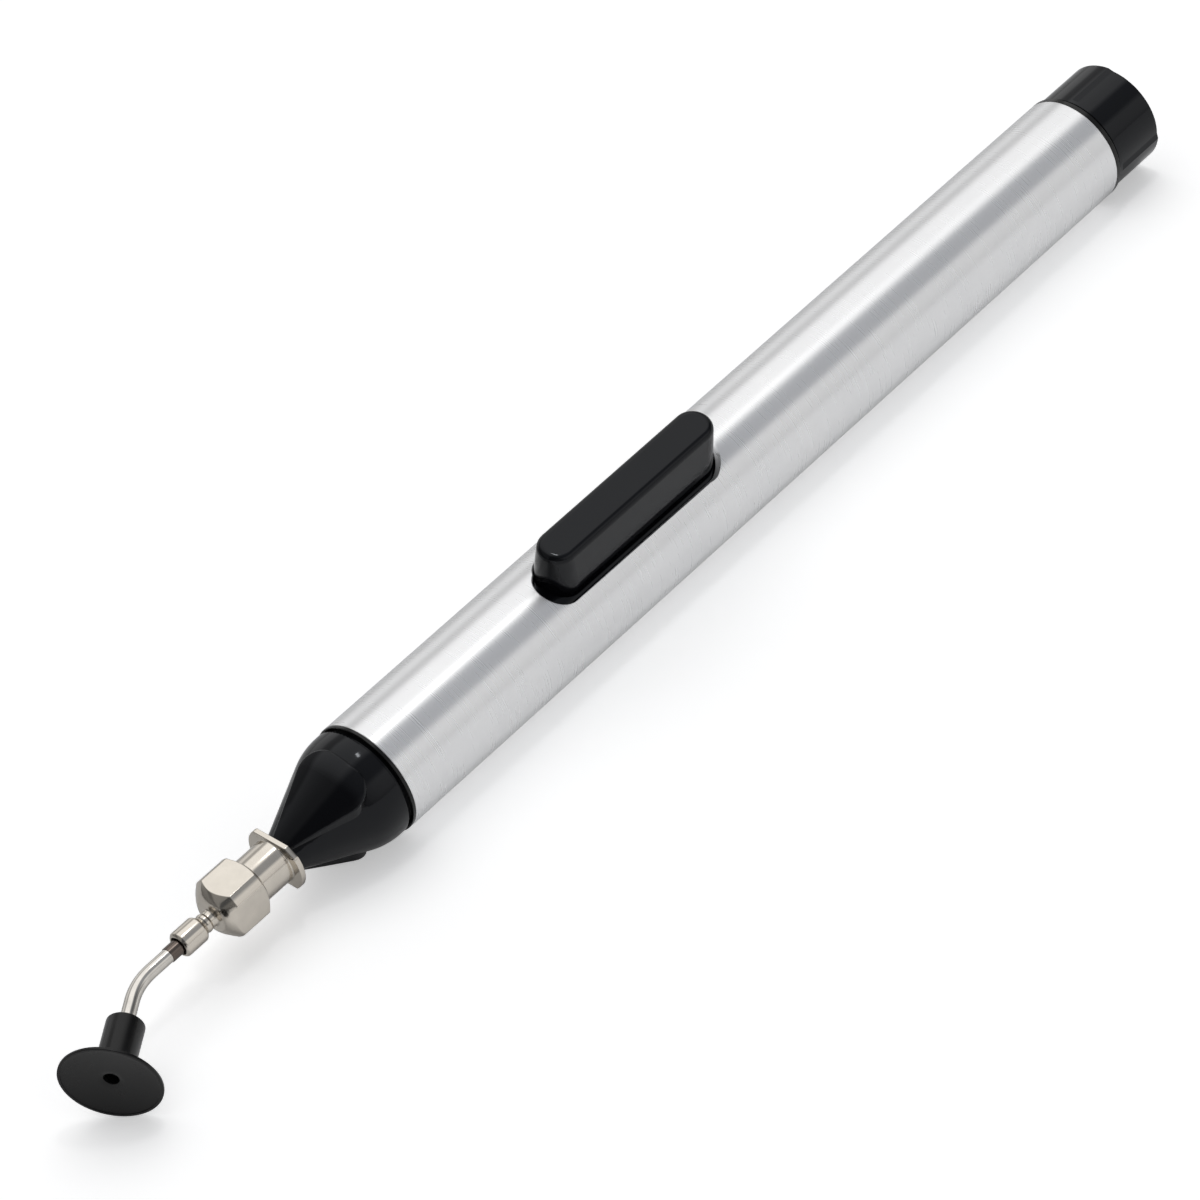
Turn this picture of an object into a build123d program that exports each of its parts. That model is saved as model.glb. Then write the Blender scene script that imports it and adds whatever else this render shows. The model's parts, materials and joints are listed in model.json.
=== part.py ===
from build123d import *
import math
import os

# A hand-held vacuum pick-up pen, in millimetres, lying as it comes to rest.
# Each piece is drawn in the pen's own frame: the axis along X, the tip towards -X, the button towards +Z
# and the middle of the end cap's flat end at the origin. Then the whole pen is rolled about X until the
# barrel and the rim of the suction cup touch the same floor.

# Barrel
barrel_radius = 7.0
barrel_wall = 0.9
barrel_length = 125.0
barrel_edge_break = 0.15
slot_length = 28.2
slot_width = 7.08
slot_setback = 27.1
slot_corner_radius = 2.87
slot_edge_break = 0.12
slot_end_radius = 4.2
slot_end_setback = 52.5
slot_end_draft = 26.6

# End bushes, pressed into both ends of the barrel
front_flange = 0.4
rear_flange = 0.6
flange_edge_break = 0.08
bush_sleeve = 9.0
bush_press_gap = 0.04
bush_bore_radius = 4.95

# End cap
cap_radius = 6.7
cap_length = 7.8
cap_groove_width = 0.35
cap_groove_radius = 6.35
cap_end_wall = 2.7
cap_edge_round = 0.25
grip_depth = 0.22
grip_angle = 103.0
grip_turn = 36.0
grip_setback = 0.5
grip_side_run = 0.75
grip_edge_round = 0.8
grips = 2

# Spigots that hold the cap and the nose in their bushes
spigot_gap = 0.1
spigot_length = 7.0
spigot_wall = 1.25

# Nose
nose_length = 13.9
nose_groove_width = 0.5
nose_groove_radius = 6.45
nose_radius = 6.87
nose_land = 0.55
nose_shoulder_end = 5.0
nose_cone_radius = 6.13
nose_tip_radius = 2.15
nose_edge_round = 0.18
nut_seat_depth = 8.0

# Raised pads on the nose, above and below
pad_rise = 0.53
pad_tip_rise = 0.05
pad_axis_drop = 1.5
pad_shoulder = 6.2
pad_rear_radius = 6.85
pad_rear = 3.5
pad_half_width = 5.28
pad_tip_half_width = 0.66
pad_corner_radius = 2.2
pad_draft = 5.0
pad_edge_round = 0.3

# Air nipple: slip taper in front, threaded shank through the nose, barbed tail in the bulb's neck
taper_length = 6.7
taper_tip_radius = 1.98
taper_slope = 0.03
nipple_bore_radius = 0.8
shank_radius = 1.75
shank_gap = 0.05
shank_beyond_nut = 0.4
tail_radius = 1.55
tail_reach = 6.4
barb_radius = 1.95
barb_length = 1.5
barb_tip_radius = 1.3
nut_across_flats = 5.6
nut_thickness = 2.0

# O-rings
nose_ring_section = 0.45
nipple_ring_section = 0.35
cap_ring_section = 0.42
cap_ring_setback = 4.4
ring_gap = 0.02

# Squeeze bulb, its plug, its clamp rings and the cradle behind it
bulb_radius = 4.4
bulb_wall = 0.9
bulb_front = 12.0
bulb_rear = 70.0
bulb_shoulder = 6.0
neck_radius = 2.55
neck_start = -1.5
neck_gap = 0.05
rear_neck_length = 7.0
clamp_wall = 0.7
clamp_length = 3.0
clamp_gap = 0.02
clamp_setback = 2.0
plug_head_radius = 5.8
plug_head_length = 2.0
plug_gap = 0.1
cradle_gap = 0.1
cradle_inset = 1.0
cradle_clearance = 0.3

# Button
button_height = 12.0
button_length = 27.55
button_setback = 28.28
button_base_width = 5.84
button_top_width = 4.5
button_edge_round = 0.8
button_travel = 2.5
foot_gap = 0.06
foot_saddle_gap = 0.15
foot_half_width = 4.3
foot_overlap = 1.2
foot_end_round = 2.0

# Needle hub
hub_gap = 0.05
flange_radius = 3.9
flange_thickness = 0.65
flange_across_flats = 5.9
flange_edge_round = 0.1
lug_ramp_distance = 3.62
lug_ramp_angle = 38.0
flange_root_round = 0.2
hub_turn = -13.5
hub_barrel_radius = 2.7
hub_body_start = 5.15
hub_body_end = 9.0
hub_body_radius = 3.75
hub_across_flats = 6.2
hub_rear_chamfer = 0.55
hub_front_chamfer = 0.35
boss_radius = 3.0
boss_length = 0.9
boss_edge_round = 0.2
neck_of_hub_radius = 1.0
neck_root_round = 0.2
bead_radius = 1.1
bead_length = 0.65
bead_groove = 0.15
collar_start = 11.95
collar_length = 3.45
collar_radius = 1.54
collar_rear_chamfer = 0.5
collar_front_chamfer = 0.25
mouth_radius = 1.13
mouth_depth = 1.0
taper_bore_length = 7.4

# Needle tube, with its sleeve and its seal in the hub's mouth
tube_radius = 0.825
tube_bore_radius = 0.6
tube_gap = 0.01
tube_rear_inset = 8.0
corner_reach = 21.7
bend_angle = 32.5
bend_radius = 7.5
bend_turn = -82.0
sleeve_wall = 0.07
sleeve_reach = 1.55
sleeve_inset = 1.6
seal_depth = 0.35
seal_gap = 0.02

# Suction cup, pushed on the end of the tube
cup_radius = 5.6
cup_reach = 13.0
cup_height = 7.7
cup_lip = 0.4
cup_rim_width = 0.7
cup_dish = 0.45
cup_hole_radius = 0.85
cup_stem_radius = 2.1
cup_shoulder_radius = 2.5
cup_shoulder = 1.6
cup_shoulder_run = 0.5
cup_top_round = 0.25
cup_grip_length = 3.6

# How far a cutting shape runs past what it cuts
cut_margin = 1.0

# Places along the axis that follow from the sizes above
cap_reach = cap_length + cap_groove_width + rear_flange
rear_rim = -cap_reach
front_rim = rear_rim - barrel_length
bore_radius = barrel_radius - barrel_wall
spigot_radius = bush_bore_radius - spigot_gap
spigot_bore = spigot_radius - spigot_wall
nose_rear = front_rim - front_flange
nose_tip = front_rim - nose_length
nut_seat = nose_tip + nose_length - nut_seat_depth
slot_middle = front_rim + slot_setback + slot_length / 2
button_middle = front_rim + button_setback + button_length / 2
saddle_radius = bulb_radius + foot_saddle_gap
taper_base_radius = taper_tip_radius + taper_slope * taper_length
hub_rear = nose_tip - hub_gap
corner_x = hub_rear - corner_reach
flange_front = hub_rear - flange_thickness


def behind(distance):
    """X of a place this far behind the barrel's front rim."""
    return front_rim + distance


def turned(*points):
    """A solid turned about the pen's axis, from (x, radius) points."""
    return revolve(make_face(Polyline(*points, close=True)), Axis.X)


def ring_between(x_low, x_high, inner, outer):
    """A plain tube about the pen's axis."""
    return turned((x_low, inner), (x_high, inner), (x_high, outer), (x_low, outer))


def o_ring(x, inner, section):
    """A round-section ring whose inside has the given radius."""
    profile = Plane.XY * Pos(x, inner + section) * Circle(section)
    return revolve(profile, Axis.X)


def circles_at(solid, x):
    """The turned edges in the plane at x, in groups from the smallest radius to the largest."""
    in_plane = solid.edges().filter_by(GeomType.CIRCLE).filter_by(lambda edge: abs(edge.center().X - x) < 0.001)
    return in_plane.group_by(SortBy.RADIUS)


def reach_of(edge):
    """How far the middle of an edge is from the pen's axis."""
    middle = edge @ 0.5
    return math.hypot(middle.Y, middle.Z)


def pill(width, z):
    """The button's round-ended outline, long along X, at height z."""
    return Plane.XY * Pos(button_middle, 0, z) * SlotOverall(button_length, width)


def about_axis(angle, thing):
    """Turns a thing about the pen's axis, from +Z towards -Y for a positive angle."""
    return Rot(angle, 0, 0) * thing


def barrel():
    tube = ring_between(front_rim, rear_rim, bore_radius, barrel_radius)
    outer_ends = tube.edges().filter_by(GeomType.CIRCLE).group_by(SortBy.RADIUS)[-1]
    tube = chamfer(outer_ends, barrel_edge_break)
    outline = Pos(slot_middle, 0, 0) * RectangleRounded(slot_length, slot_width, slot_corner_radius)
    slot = extrude(outline, barrel_radius + cut_margin)
    slotted = tube - slot - slot_end()
    outer_edges = slotted.edges().filter_by(is_slot_edge)
    return chamfer(outer_edges, slot_edge_break)


def slot_end():
    """The drafted round at the slot's rear end, as a cone that widens outward."""
    slope = math.tan(math.radians(slot_end_draft))
    depth = 2 * barrel_wall + cut_margin
    low_radius = slot_end_radius - depth * slope
    high_radius = slot_end_radius + cut_margin * slope
    cone = Cone(low_radius, high_radius, depth + cut_margin, align=(Align.CENTER, Align.CENTER, Align.MIN))
    return Pos(behind(slot_end_setback), 0, barrel_radius - depth) * cone


def is_slot_edge(edge):
    """Tells the slot's edges on the barrel's outside from the barrel's other edges."""
    inside_ends = front_rim + 1 < edge.center().X < rear_rim - 1
    on_outside = all(abs(math.hypot((edge @ t).Y, (edge @ t).Z) - barrel_radius) < 0.001 for t in (0, 0.5, 1))
    return inside_ends and on_outside and (edge @ 0.5).Z > 0 and edge.length < barrel_length / 2


def bush(rim, outward, flange, ring_recess):
    """A flanged bush; outward is -1 at the front rim and 1 at the rear rim."""
    sleeve_radius = bore_radius - bush_press_gap
    face = rim + outward * flange
    inner_end = rim - outward * bush_sleeve
    outline = [
        (inner_end, bush_bore_radius),
        (inner_end, sleeve_radius),
        (rim, sleeve_radius),
        (rim, barrel_radius),
        (face, barrel_radius),
    ]
    if ring_recess:
        recess_radius = spigot_radius + 2 * nose_ring_section + 2 * ring_gap
        recess_floor = face - outward * (2 * nose_ring_section + 2 * ring_gap)
        outline += [(face, recess_radius), (recess_floor, recess_radius), (recess_floor, bush_bore_radius)]
    else:
        outline += [(face, bush_bore_radius)]
    sleeve = turned(*outline)
    return fillet(circles_at(sleeve, face)[-1], flange_edge_break)


def nose_o_ring():
    return o_ring(nose_rear + nose_ring_section + ring_gap, spigot_radius + ring_gap, nose_ring_section)


def nose_arc_radius():
    """Radius of the shoulder arc that leaves the land level and meets the cone tangentially."""
    cone_slope = (nose_cone_radius - nose_tip_radius) / (nose_length - nose_shoulder_end)
    return (nose_radius - nose_cone_radius) / (1 - math.cos(math.atan(cone_slope)))


def nose_body():
    """The turned form of the nose with its spigot, its cavity and the hole for the nipple."""
    land_front = nose_rear - nose_groove_width - nose_land
    shoulder_end = front_rim - nose_shoulder_end
    arc = RadiusArc((land_front, nose_radius), (shoulder_end, nose_cone_radius), -nose_arc_radius())
    spigot_end = front_rim + spigot_length
    shank_hole = shank_radius + shank_gap
    rest = Polyline(
        (shoulder_end, nose_cone_radius),
        (nose_tip, nose_tip_radius),
        (nose_tip, shank_hole),
        (nut_seat, shank_hole),
        (nut_seat, spigot_bore),
        (spigot_end, spigot_bore),
        (spigot_end, spigot_radius),
        (nose_rear, spigot_radius),
        (nose_rear, nose_groove_radius),
        (nose_rear - nose_groove_width, nose_groove_radius),
        (nose_rear - nose_groove_width, nose_radius),
        (land_front, nose_radius),
    )
    body = revolve(make_face([arc, rest]), Axis.X)
    return fillet(circles_at(body, nose_rear - nose_groove_width)[-1], nose_edge_round)


def nose_pad():
    """One raised pad: its plan outline, drafted, cut to a skin that follows the nose a little further out."""
    rear = front_rim - pad_rear
    plan = make_face(
        Polyline(
            (rear, -pad_half_width),
            (rear, pad_half_width),
            (nose_tip, pad_tip_half_width),
            (nose_tip, -pad_tip_half_width),
            close=True,
        )
    )
    plan = fillet(plan.vertices().group_by(Axis.X)[-1], pad_corner_radius)
    block = extrude(Pos(0, 0, pad_rear_radius) * plan, shank_radius - pad_rear_radius, taper=-pad_draft)
    pad = fillet((pad_skin(rear) & block).edges().filter_by(is_pad_top_edge), pad_edge_round)
    return pad - pad_core(rear)


def pad_skin(rear):
    """The pads' face: turned about an axis below the pen's own, so that it is flatter than the cone."""
    cone_slope = (nose_cone_radius - nose_tip_radius) / (nose_length - nose_shoulder_end)
    cone_radius = nose_tip_radius + cone_slope * (nose_length - pad_shoulder)
    shoulder_end = front_rim - pad_shoulder
    shoulder_radius = cone_radius + pad_rise + pad_axis_drop
    tip_radius = nose_tip_radius + pad_tip_rise + pad_axis_drop
    beyond = rear + cut_margin
    rear_radius = pad_rear_radius + pad_axis_drop
    slope = (shoulder_radius - tip_radius) / (nose_length - pad_shoulder)
    arc = TangentArc((shoulder_end, shoulder_radius), (beyond, rear_radius), tangent=(1, slope))
    rest = Polyline(
        (beyond, rear_radius),
        (beyond, 0),
        (nose_tip, 0),
        (nose_tip, tip_radius),
        (shoulder_end, shoulder_radius),
    )
    return Pos(0, 0, -pad_axis_drop) * revolve(make_face([arc, rest]), Axis.X)


def is_pad_top_edge(edge):
    """Tells the rim of a pad's face from its upright edges, its seam and the edges inside the nose."""
    start = edge @ 0
    middle = edge @ 0.5
    end = edge @ 1
    run = math.hypot(end.X - start.X, end.Y - start.Y)
    upper = middle.Z > nose_tip_radius and middle.X - nose_tip > 0.01
    return upper and run > abs(end.Z - start.Z) and edge.geom_type != GeomType.CIRCLE


def pad_core(rear):
    """The nose's hollow, kept free of the pads."""
    shank_hole = shank_radius + shank_gap
    return turned(
        (nose_tip - cut_margin, 0),
        (nose_tip - cut_margin, shank_hole),
        (nut_seat, shank_hole),
        (nut_seat, spigot_bore),
        (rear + cut_margin, spigot_bore),
        (rear + cut_margin, 0),
    )


def nose_cone():
    pads = [about_axis(angle, nose_pad()) for angle in (0, 180)]
    return nose_body() + pads


def air_nipple():
    taper_tip = nose_tip - taper_length
    nut_face = nut_seat + 2 * nipple_ring_section + 2 * ring_gap + nut_thickness
    tail_end = front_rim + tail_reach
    return turned(
        (taper_tip, nipple_bore_radius),
        (taper_tip, taper_tip_radius),
        (nose_tip, taper_base_radius),
        (nose_tip, shank_radius),
        (nut_face + shank_beyond_nut, shank_radius),
        (nut_face + shank_beyond_nut, tail_radius),
        (tail_end, tail_radius),
        (tail_end, barb_radius),
        (tail_end + barb_length, barb_tip_radius),
        (tail_end + barb_length, nipple_bore_radius),
    )


def nipple_o_ring():
    return o_ring(nut_seat + nipple_ring_section + ring_gap, shank_radius + ring_gap, nipple_ring_section)


def nipple_nut():
    face = nut_seat + 2 * nipple_ring_section + 2 * ring_gap
    outline = RegularPolygon(nut_across_flats / 2, 6, major_radius=False) - Circle(shank_radius + shank_gap)
    return extrude(Plane.YZ.offset(face) * outline, nut_thickness)


def squeeze_bulb():
    """A closed rubber bulb with a necked front for the nipple and a necked rear for the plug."""
    front = behind(bulb_front)
    rear = behind(bulb_rear)
    neck_front = behind(neck_start)
    barb_start = behind(tail_reach)
    rear_shoulder = rear + bulb_shoulder
    neck_end = rear_shoulder + rear_neck_length
    neck_bore = tail_radius + neck_gap
    barb_room = barb_radius + 2 * neck_gap
    body_bore = bulb_radius - bulb_wall
    return turned(
        (neck_front, neck_bore),
        (neck_front, neck_radius),
        (front - bulb_shoulder, neck_radius),
        (front, bulb_radius),
        (rear, bulb_radius),
        (rear_shoulder, neck_radius),
        (neck_end, neck_radius),
        (neck_end, neck_bore),
        (rear_shoulder, neck_bore),
        (rear, body_bore),
        (front + bulb_wall, body_bore),
        (barb_start, barb_room),
        (barb_start - 2 * neck_gap, neck_bore),
    )


def clamp_ring(x):
    inner = neck_radius + clamp_gap
    return ring_between(x, x + clamp_length, inner, inner + clamp_wall)


def bulb_plug():
    """Closes the bulb's rear neck; its head steadies the bulb in the barrel."""
    neck_end = behind(bulb_rear) + bulb_shoulder + rear_neck_length
    tip = behind(bulb_rear) + bulb_shoulder
    head = neck_end + plug_gap
    return turned(
        (tip, 0),
        (tip, barb_tip_radius),
        (tip + barb_length, tail_radius),
        (head, tail_radius),
        (head, plug_head_radius),
        (head + plug_head_length, plug_head_radius),
        (head + plug_head_length, 0),
    )


def bulb_cradle():
    """A shell between the bulb and the barrel's lower wall, so that the bulb is squeezed against it.

    Its upper edges stay below the button's foot when the button is pressed.
    """
    outer = bore_radius - cradle_gap
    x_low = behind(bulb_front) + cradle_inset
    x_high = behind(bulb_rear) - cradle_inset
    foot_bottom = math.sqrt(saddle_radius**2 - foot_half_width**2)
    top = foot_bottom - button_travel - cradle_clearance
    shell = ring_between(x_low, x_high, bulb_radius + cradle_gap, outer)
    return split(shell, Plane.XY.offset(top), keep=Keep.BOTTOM)


def button():
    """A long key with rounded upright ends and leaning sides, over a skirt and a saddle-shaped foot."""
    shoulder_z = math.sqrt(barrel_radius**2 - (button_base_width / 2) ** 2)
    key = loft([pill(button_base_width, shoulder_z), pill(button_top_width, button_height)], ruled=True)
    key = fillet(key.edges().group_by(Axis.Z)[-1], button_edge_round)
    foot_outer = bore_radius - foot_gap
    skirt_z = saddle_radius + foot_gap
    skirt = extrude(pill(button_base_width, skirt_z), shoulder_z - skirt_z)
    foot_front = behind(slot_setback) - foot_overlap
    foot_rear = behind(slot_end_setback + slot_end_radius) + foot_overlap
    foot_length = foot_rear - foot_front
    foot = ring_between(foot_front, foot_rear, saddle_radius, foot_outer)
    plan = fillet(Rectangle(foot_length, 2 * foot_half_width).vertices(), foot_end_round)
    foot = foot & extrude(Pos(foot_front + foot_length / 2, 0, 0) * plan, foot_outer)
    return key + skirt + foot


def end_cap():
    """A hollow plug with a turned head that has two shallow grip recesses."""
    spigot_end = rear_rim - spigot_length
    head_front = rear_rim + rear_flange + cap_groove_width
    flange_face = rear_rim + rear_flange
    groove_middle = rear_rim - cap_ring_setback
    groove_half = cap_ring_section + ring_gap
    groove_floor = bush_bore_radius - 2 * cap_ring_section - 2 * ring_gap
    spigot = turned(
        (spigot_end, 0),
        (spigot_end, spigot_radius),
        (groove_middle - groove_half, spigot_radius),
        (groove_middle - groove_half, groove_floor),
        (groove_middle + groove_half, groove_floor),
        (groove_middle + groove_half, spigot_radius),
        (flange_face, spigot_radius),
        (flange_face, cap_groove_radius),
        (head_front, cap_groove_radius),
        (head_front, 0),
    )
    cavity = ring_between(spigot_end, -cap_end_wall, 0, spigot_bore)
    return spigot + cap_head(head_front) - cavity


def around(radius, degrees):
    """A point in the pen's cross-section, its angle counted from the top towards -Y."""
    angle = math.radians(degrees)
    return (-radius * math.sin(angle), radius * math.cos(angle))


def cap_head(head_front):
    """The head: a round rim in front, and behind it lands with shallow soft-edged recesses between them."""
    floor = cap_radius - grip_depth
    side_angle = math.degrees(grip_side_run / cap_radius)
    outline = []
    for index in range(grips):
        middle = grip_turn + index * 360 / grips
        next_middle = middle + 360 / grips
        edge = middle + grip_angle / 2
        next_edge = next_middle - grip_angle / 2
        recess = (edge - grip_angle + side_angle, middle, edge - side_angle)
        land = (edge, (edge + next_edge) / 2, next_edge)
        next_floor = next_edge + side_angle
        outline.append(ThreePointArc(*[around(floor, angle) for angle in recess]))
        outline.append(Line(around(floor, recess[2]), around(cap_radius, land[0])))
        outline.append(ThreePointArc(*[around(cap_radius, angle) for angle in land]))
        outline.append(Line(around(cap_radius, land[2]), around(floor, next_floor)))
    section = make_face(outline)
    low_limit = floor + grip_depth / 2
    low_corners = section.vertices().filter_by(lambda corner: math.hypot(corner.X, corner.Y) < low_limit)
    section = fillet(low_corners, grip_edge_round)
    recess_front = head_front + grip_setback
    lands = extrude(Plane.YZ.offset(recess_front) * section, -recess_front, dir=(1, 0, 0))
    lands = fillet(lands.edges().group_by(Axis.X)[-1], cap_edge_round)
    rim = ring_between(head_front, recess_front, 0, cap_radius)
    return rim + lands


def cap_o_ring():
    inner = bush_bore_radius - 2 * cap_ring_section - ring_gap
    return o_ring(rear_rim - cap_ring_setback, inner, cap_ring_section)


def hub_profile():
    """The turned outline of the hub, from the mouth of its taper to the mouth that holds the needle."""
    body_rear = hub_rear - hub_body_start
    body_front = hub_rear - hub_body_end
    boss_rear = body_front - hub_front_chamfer
    boss_front = boss_rear - boss_length
    collar_rear = hub_rear - collar_start
    collar_front = collar_rear - collar_length
    bead_rear = collar_rear + bead_groove + bead_length
    bore_end = hub_rear - taper_bore_length
    sleeve_hole = tube_radius + tube_gap + sleeve_wall + tube_gap
    sleeve_end = collar_front + sleeve_inset + tube_gap
    return [
        (hub_rear, taper_base_radius + hub_gap),
        (hub_rear, flange_radius),
        (flange_front, flange_radius),
        (flange_front, hub_barrel_radius),
        (body_rear + hub_rear_chamfer, hub_barrel_radius),
        (body_rear, hub_body_radius),
        (body_front, hub_body_radius),
        (boss_rear, boss_radius),
        (boss_front, boss_radius),
        (boss_front, neck_of_hub_radius),
        (bead_rear, neck_of_hub_radius),
        (bead_rear - bead_length / 3, bead_radius),
        (bead_rear - bead_length, bead_radius),
        (bead_rear - bead_length, neck_of_hub_radius),
        (collar_rear, neck_of_hub_radius),
        (collar_rear, collar_radius - collar_rear_chamfer),
        (collar_rear - collar_rear_chamfer, collar_radius),
        (collar_front + collar_front_chamfer, collar_radius),
        (collar_front, collar_radius - collar_front_chamfer),
        (collar_front, mouth_radius),
        (collar_front + mouth_depth, mouth_radius),
        (collar_front + mouth_depth, sleeve_hole),
        (sleeve_end, sleeve_hole),
        (sleeve_end, tube_radius + tube_gap),
        (bore_end, tube_radius + tube_gap),
        (bore_end, taper_base_radius - taper_slope * taper_bore_length + hub_gap),
    ]


def flats(x_low, x_high, across, count, outer):
    """Blocks that leave flats at this distance across, the first one facing +Z."""
    middle = (x_low + x_high) / 2
    width = 4 * outer
    block = Pos(middle, 0, across / 2 + outer) * Box(x_high - x_low, width, 2 * outer)
    return [about_axis(index * 360 / count, block) for index in range(count)]


def luer_hub():
    """A turned hub with a lug flange at the rear, a square body and a collar that holds the needle."""
    hub = turned(*hub_profile())
    hub = fillet(circles_at(hub, flange_front)[0], flange_root_round)
    boss_front = hub_rear - hub_body_end - hub_front_chamfer - boss_length
    hub = fillet(circles_at(hub, boss_front)[-1], boss_edge_round)
    hub = fillet(circles_at(hub, boss_front)[0], neck_root_round)
    flange_blocks = flats(flange_front, hub_rear, flange_across_flats, 2, flange_radius)
    ramps = flats(flange_front, hub_rear, 2 * lug_ramp_distance, 2, flange_radius)
    ramp_blocks = [about_axis(lug_ramp_angle, block) for block in ramps]
    body_blocks = flats(
        hub_rear - hub_body_end - hub_front_chamfer,
        hub_rear - hub_body_start + hub_rear_chamfer,
        hub_across_flats,
        4,
        hub_body_radius,
    )
    hub = hub - flange_blocks - ramp_blocks - body_blocks
    rear_edges = hub.edges().group_by(Axis.X)[-1]
    rim_edges = rear_edges.filter_by(lambda edge: reach_of(edge) > hub_barrel_radius)
    hub = fillet(rim_edges, flange_edge_round)
    return about_axis(hub_turn, hub)


def needle_corner():
    """Where the needle's two straight runs would meet, and the direction of its bent run."""
    turn = math.radians(bend_turn)
    bend = math.radians(bend_angle)
    side = Vector(0, math.sin(turn), math.cos(turn))
    direction = Vector(-1, 0, 0) * math.cos(bend) + side * math.sin(bend)
    return Vector(corner_x, 0, 0), direction


def needle_tube():
    corner, direction = needle_corner()
    tangent = bend_radius * math.tan(math.radians(bend_angle / 2))
    start = Vector(hub_rear - tube_rear_inset, 0, 0)
    bend_start = corner + Vector(tangent, 0, 0)
    bend_end = corner + direction * tangent
    end = corner + direction * (cup_reach - cup_height + cup_grip_length)
    straight = Line(start, bend_start)
    arc = TangentArc(bend_start, bend_end, tangent=(-1, 0, 0))
    path = Wire([straight.edge(), arc.edge(), Line(bend_end, end).edge()])
    section = Plane(origin=start, z_dir=(-1, 0, 0)) * (Circle(tube_radius) - Circle(tube_bore_radius))
    return sweep(section, path=path)


def needle_sleeve():
    collar_front = hub_rear - collar_start - collar_length
    inner = tube_radius + tube_gap
    return ring_between(collar_front - sleeve_reach, collar_front + sleeve_inset, inner, inner + sleeve_wall)


def needle_seal():
    collar_front = hub_rear - collar_start - collar_length
    inner = tube_radius + tube_gap + sleeve_wall + seal_gap
    return ring_between(collar_front + seal_depth, collar_front + mouth_depth, inner, mouth_radius - seal_gap)


def suction_cup():
    """A soft flat cup with a dished face and a straight stem, turned about the needle's bent run."""
    hole = tube_radius + tube_gap
    grip_floor = cup_height - cup_grip_length - tube_gap
    cup = revolve(
        make_face(
            Polyline(
                (cup_hole_radius, cup_dish),
                (cup_radius - cup_rim_width, 0),
                (cup_radius, 0),
                (cup_radius, cup_lip),
                (cup_shoulder_radius, cup_shoulder),
                (cup_stem_radius, cup_shoulder + cup_shoulder_run),
                (cup_stem_radius, cup_height - cup_top_round),
                (cup_stem_radius - cup_top_round, cup_height),
                (hole, cup_height),
                (hole, grip_floor),
                (cup_hole_radius, grip_floor),
                close=True,
            )
        ),
        Axis.Y,
    )
    corner, direction = needle_corner()
    face_plane = Plane(origin=corner + direction * cup_reach, z_dir=direction * -1)
    upright = Rot(90, 0, 0) * cup
    return face_plane.location * upright


def rest_roll():
    """The roll, in degrees about X, that brings the cup's rim down to the barrel's floor."""
    offset = (cup_reach) * math.sin(math.radians(bend_angle))
    lean = cup_radius * math.sin(math.radians(bend_angle))
    square = offset**2 + lean**2
    spread = (offset * barrel_radius) ** 2 - square * (barrel_radius**2 - cup_radius**2)
    cosine = (offset * barrel_radius - math.sqrt(spread)) / square
    down_from_bend = math.degrees(math.acos(cosine))
    return 180 + bend_turn - down_from_bend


pieces = {
    "barrel": barrel(),
    "front_bush": bush(front_rim, -1, front_flange, True),
    "nose_cone": nose_cone(),
    "nose_o_ring": nose_o_ring(),
    "air_nipple": air_nipple(),
    "nipple_nut": nipple_nut(),
    "nipple_o_ring": nipple_o_ring(),
    "squeeze_bulb": squeeze_bulb(),
    "front_clamp_ring": clamp_ring(front_rim + clamp_setback),
    "rear_clamp_ring": clamp_ring(behind(bulb_rear) + bulb_shoulder + clamp_setback),
    "bulb_plug": bulb_plug(),
    "bulb_cradle": bulb_cradle(),
    "button": button(),
    "rear_bush": bush(rear_rim, 1, rear_flange, False),
    "end_cap": end_cap(),
    "cap_o_ring": cap_o_ring(),
    "luer_hub": luer_hub(),
    "needle_tube": needle_tube(),
    "needle_sleeve": needle_sleeve(),
    "needle_seal": needle_seal(),
    "suction_cup": suction_cup(),
}

os.makedirs("parts", exist_ok=True)
roll = rest_roll()
for name, piece in pieces.items():
    export_step(Rot(roll, 0, 0) * piece, "parts/" + name + ".step")
    print(name, round(piece.volume, 2))
print("roll", round(roll, 3))
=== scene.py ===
import json
import math

import bmesh
import bpy
from mathutils import Matrix, Vector


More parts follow.
